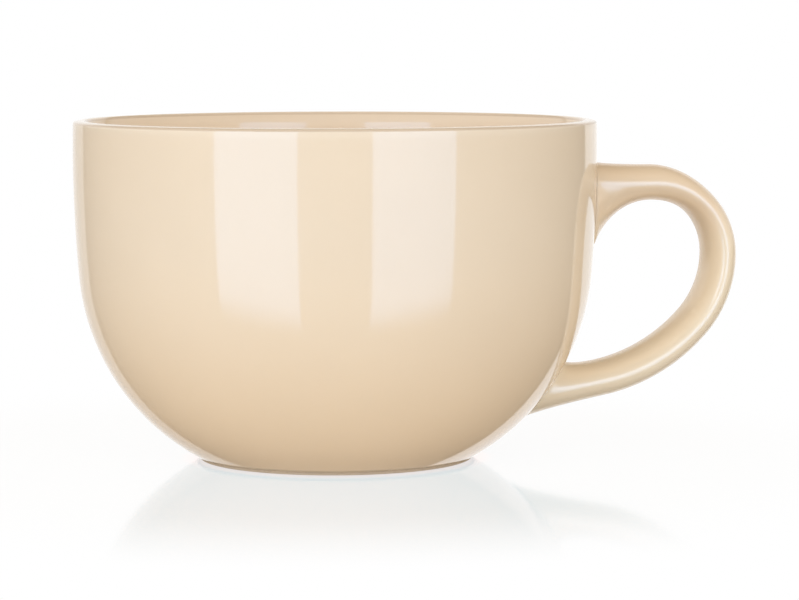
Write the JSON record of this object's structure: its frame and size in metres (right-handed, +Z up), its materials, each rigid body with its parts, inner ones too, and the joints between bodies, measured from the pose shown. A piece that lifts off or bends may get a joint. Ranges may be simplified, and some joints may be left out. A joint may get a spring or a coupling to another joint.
{
  "type": "soup mug",
  "caption": "Wide round-bellied glazed ceramic soup mug with a loop handle and a bare foot ring.",
  "frame": {"origin": "on the axis of the bowl, at the flat face of the foot ring that the mug stands on", "axes": "+Z up along the axis of the bowl, +X out to the handle, +Y completes a right-handed frame"},
  "size_m": [0.1683, 0.1306, 0.0848],
  "materials": {
    "clay": "fired clay, bare and matt",
    "slip": "fired slip, matt",
    "glaze": "glossy cream glaze"
  },
  "bodies": {
    "root": {"bowl": "clay", "handle": "clay", "upper_slip_joint": "slip", "lower_slip_joint": "slip", "inner_glaze": "glaze", "outer_glaze": "glaze", "handle_glaze": "glaze", "base_glaze": "glaze"}
  },
  "joints": []
}
